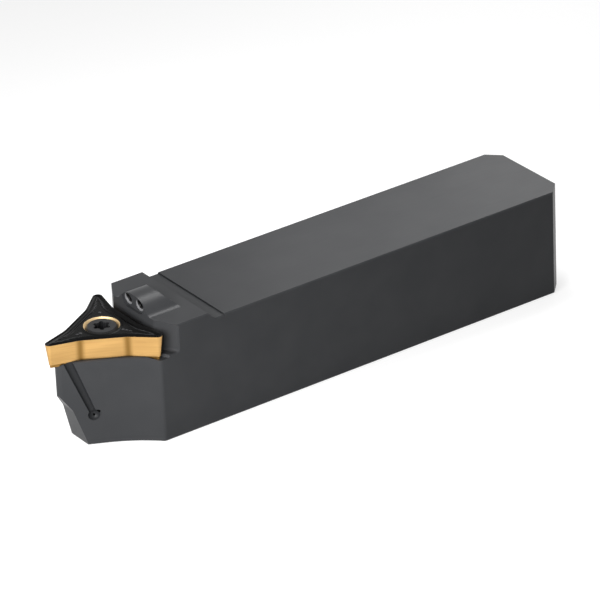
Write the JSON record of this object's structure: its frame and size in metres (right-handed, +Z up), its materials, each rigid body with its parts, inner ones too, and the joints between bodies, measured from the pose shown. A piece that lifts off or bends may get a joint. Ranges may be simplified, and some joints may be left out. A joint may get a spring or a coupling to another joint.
{
  "type": "turning tool holder",
  "caption": "Square-shank copy-turning tool holder with a screw-clamped three-corner carbide insert and through-coolant outlets.",
  "frame": {"origin": "on the base of the shank, on its centreline, below the shoulder step", "axes": "+X back along the shank, the cutting corner points to -X, +Z up"},
  "size_m": [0.1285, 0.025, 0.0295],
  "materials": {
    "holder_steel": "dark satin surface-treated steel",
    "insert_carbide": "coated carbide: gold flanks, black chip face",
    "screw_steel": "dark burnished screw",
    "plug_steel": "black oxide plug"
  },
  "bodies": {
    "root": {"holder_body": "holder_steel", "cutting_insert": "insert_carbide", "clamp_screw": "screw_steel", "coolant_plug": "plug_steel"}
  },
  "joints": []
}
